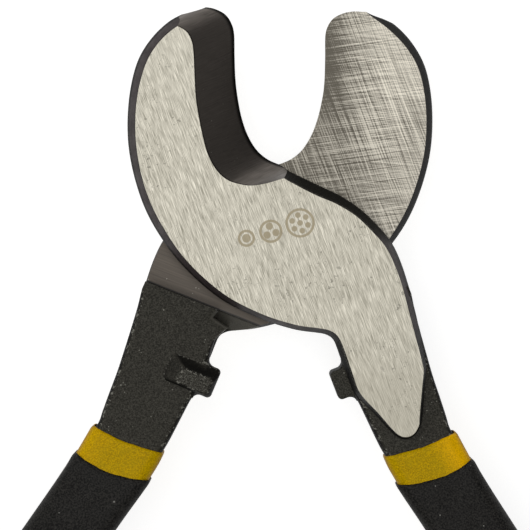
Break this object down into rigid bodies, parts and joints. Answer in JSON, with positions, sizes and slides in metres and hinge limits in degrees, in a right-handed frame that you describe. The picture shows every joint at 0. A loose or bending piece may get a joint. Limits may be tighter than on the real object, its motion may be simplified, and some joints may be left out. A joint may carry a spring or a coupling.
{
  "type": "hand cable cutter",
  "caption": "Two-handed plier-type cable cutter with hooked shear jaws on a lap joint, closing stops on the shanks and double-dipped vinyl grips.",
  "frame": {"origin": "on the pivot axis, in the flat end face of the stud, the lowest plane of the tool lying on its back", "axes": "+Z along the pivot out of the front ground face, +Y from the pivot towards the jaw tips, +X towards the front half's handle"},
  "size_m": [0.2052, 0.2261, 0.0226],
  "materials": {
    "forged_steel": "ground satin faces on a black granular coated forging",
    "pivot_steel": "turned, lightly oiled",
    "plated_steel": "zinc plated, dull",
    "insert_nylon": "moulded nylon",
    "undercoat_vinyl": "yellow dipped vinyl, glossy and slightly mottled",
    "overcoat_vinyl": "black dipped vinyl, matte and fine grained"
  },
  "bodies": {
    "rear_half": {"rear_jaw_half": "forged_steel", "flat_washer": "plated_steel", "rear_grip_undercoat": "undercoat_vinyl", "rear_grip_overcoat": "overcoat_vinyl"},
    "front_half": {"front_jaw_half": "forged_steel", "pivot_stud": "pivot_steel", "spring_washer": "plated_steel", "pivot_nut": "plated_steel", "nut_locking_insert": "insert_nylon", "front_grip_undercoat": "undercoat_vinyl", "front_grip_overcoat": "overcoat_vinyl"}
  },
  "joints": [
    {"name": "jaw_pivot", "type": "hinge", "parent": "rear_half", "child": "front_half", "pos_m": [0, 0, 0.0156], "axis": [0, 0, 1], "range_deg": [-43, 20]}
  ]
}
